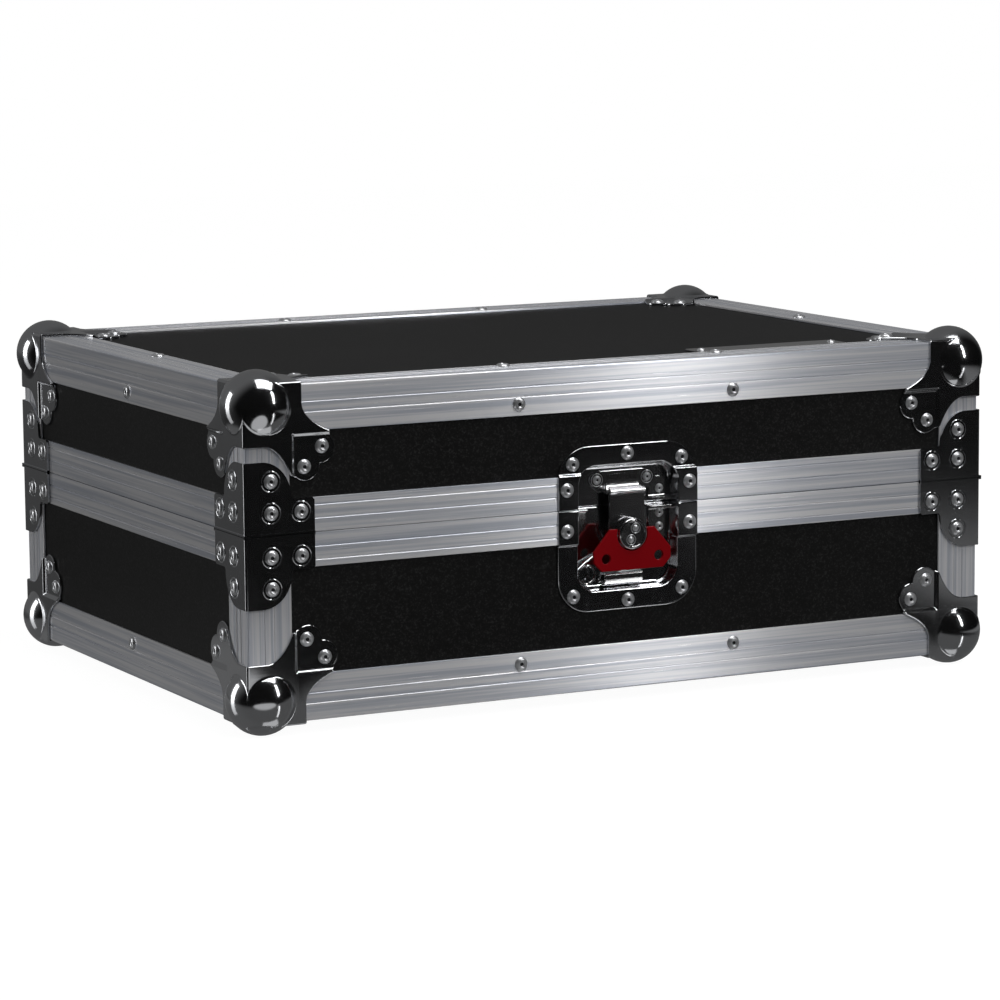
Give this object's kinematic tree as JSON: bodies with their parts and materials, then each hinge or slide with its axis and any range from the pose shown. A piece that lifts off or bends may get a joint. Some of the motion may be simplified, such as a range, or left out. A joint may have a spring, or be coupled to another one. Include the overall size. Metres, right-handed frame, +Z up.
{
  "type": "equipment flight case",
  "caption": "Plywood flight case with aluminium edging, ball corners, recessed twist latches, a lift-off lid and a foam bay for one media player.",
  "frame": {"origin": "under the middle of the case, on the plane that the four lower ball corners stand on", "axes": "+X to the right along the long front, +Y to the back, +Z up; the front with the visible latch faces -Y"},
  "size_m": [0.558, 0.41, 0.232],
  "materials": {
    "laminate": "black phenolic laminate on birch plywood, fine pebbled grain",
    "aluminium": "mill finish extrusion with fine drawn lines",
    "chrome": "bright chromed pressed steel",
    "nickel": "nickel plated steel",
    "red_handle": "dark red satin coat",
    "foam": "closed-cell foam lining, cut faces"
  },
  "bodies": {
    "base": {"base_floor_panel": "laminate", "base_foam_lining": "foam", "base_front_edging": "aluminium", "base_front_left_ball_corner": "chrome", "base_front_left_brace": "chrome", "base_front_left_post": "aluminium", "base_front_panel": "laminate", "base_front_right_ball_corner": "chrome", "base_front_right_brace": "chrome", "base_front_right_post": "aluminium", "base_left_edging": "aluminium", "base_left_panel": "laminate", "base_location_profile": "aluminium", "base_rear_edging": "aluminium", "base_rear_left_ball_corner": "chrome", "base_rear_left_brace": "chrome", "base_rear_left_post": "aluminium", "base_rear_panel": "laminate", "base_rear_right_ball_corner": "chrome", "base_rear_right_brace": "chrome", "base_rear_right_post": "aluminium", "base_right_edging": "aluminium", "base_right_panel": "laminate", "carry_handle_dish": "chrome", "front_latch_base_dish": "chrome", "rear_latch_base_dish": "chrome"},
    "lid": {"front_latch_lid_dish": "chrome", "lid_foam_lining": "foam", "lid_front_edging": "aluminium", "lid_front_left_ball_corner": "chrome", "lid_front_left_brace": "chrome", "lid_front_left_post": "aluminium", "lid_front_panel": "laminate", "lid_front_right_ball_corner": "chrome", "lid_front_right_brace": "chrome", "lid_front_right_post": "aluminium", "lid_label_plate": "nickel", "lid_left_edging": "aluminium", "lid_left_panel": "laminate", "lid_location_profile": "aluminium", "lid_rear_edging": "aluminium", "lid_rear_left_ball_corner": "chrome", "lid_rear_left_brace": "chrome", "lid_rear_left_post": "aluminium", "lid_rear_panel": "laminate", "lid_rear_right_ball_corner": "chrome", "lid_rear_right_brace": "chrome", "lid_rear_right_post": "aluminium", "lid_right_edging": "aluminium", "lid_right_panel": "laminate", "lid_top_panel": "laminate", "rear_latch_lid_dish": "chrome"},
    "front_spindle": {"front_latch_spindle": "nickel"},
    "front_handle": {"front_latch_handle": "red_handle"},
    "front_hook": {"front_latch_hook": "nickel"},
    "rear_spindle": {"rear_latch_spindle": "nickel"},
    "rear_handle": {"rear_latch_handle": "red_handle"},
    "rear_hook": {"rear_latch_hook": "nickel"},
    "carry_bail": {"carry_handle_bail": "nickel"}
  },
  "joints": [
    {"name": "lid_lift", "type": "slide", "parent": "base", "child": "lid", "axis": [0, 0, 1], "range_m": [0, 0.25]},
    {"name": "front_latch_twist", "type": "hinge", "parent": "base", "child": "front_spindle", "pos_m": [0, -0.196, 0.1115], "axis": [0, -1, 0], "range_deg": [0, 180]},
    {"name": "front_latch_fold", "type": "hinge", "parent": "front_spindle", "child": "front_handle", "pos_m": [0, -0.201, 0.1115], "axis": [-1, 0, 0], "range_deg": [0, 90]},
    {"name": "front_hook_slide", "type": "slide", "parent": "base", "child": "front_hook", "axis": [0, 0, 1], "range_m": [0, 0.008]},
    {"name": "rear_latch_twist", "type": "hinge", "parent": "base", "child": "rear_spindle", "pos_m": [0, 0.196, 0.1115], "axis": [0, 1, 0], "range_deg": [0, 180]},
    {"name": "rear_latch_fold", "type": "hinge", "parent": "rear_spindle", "child": "rear_handle", "pos_m": [0, 0.201, 0.1115], "axis": [1, 0, 0], "range_deg": [0, 90]},
    {"name": "rear_hook_slide", "type": "slide", "parent": "base", "child": "rear_hook", "axis": [0, 0, 1], "range_m": [0, 0.008]},
    {"name": "carry_bail_fold", "type": "hinge", "parent": "base", "child": "carry_bail", "pos_m": [0.265, 0, 0.089], "axis": [0, -1, 0], "range_deg": [0, 90]}
  ],
  "couplings": [
    {"joint": "front_hook_slide", "follows": "front_latch_twist", "m_per_rad": 0.002546},
    {"joint": "rear_hook_slide", "follows": "rear_latch_twist", "m_per_rad": 0.002546}
  ]
}
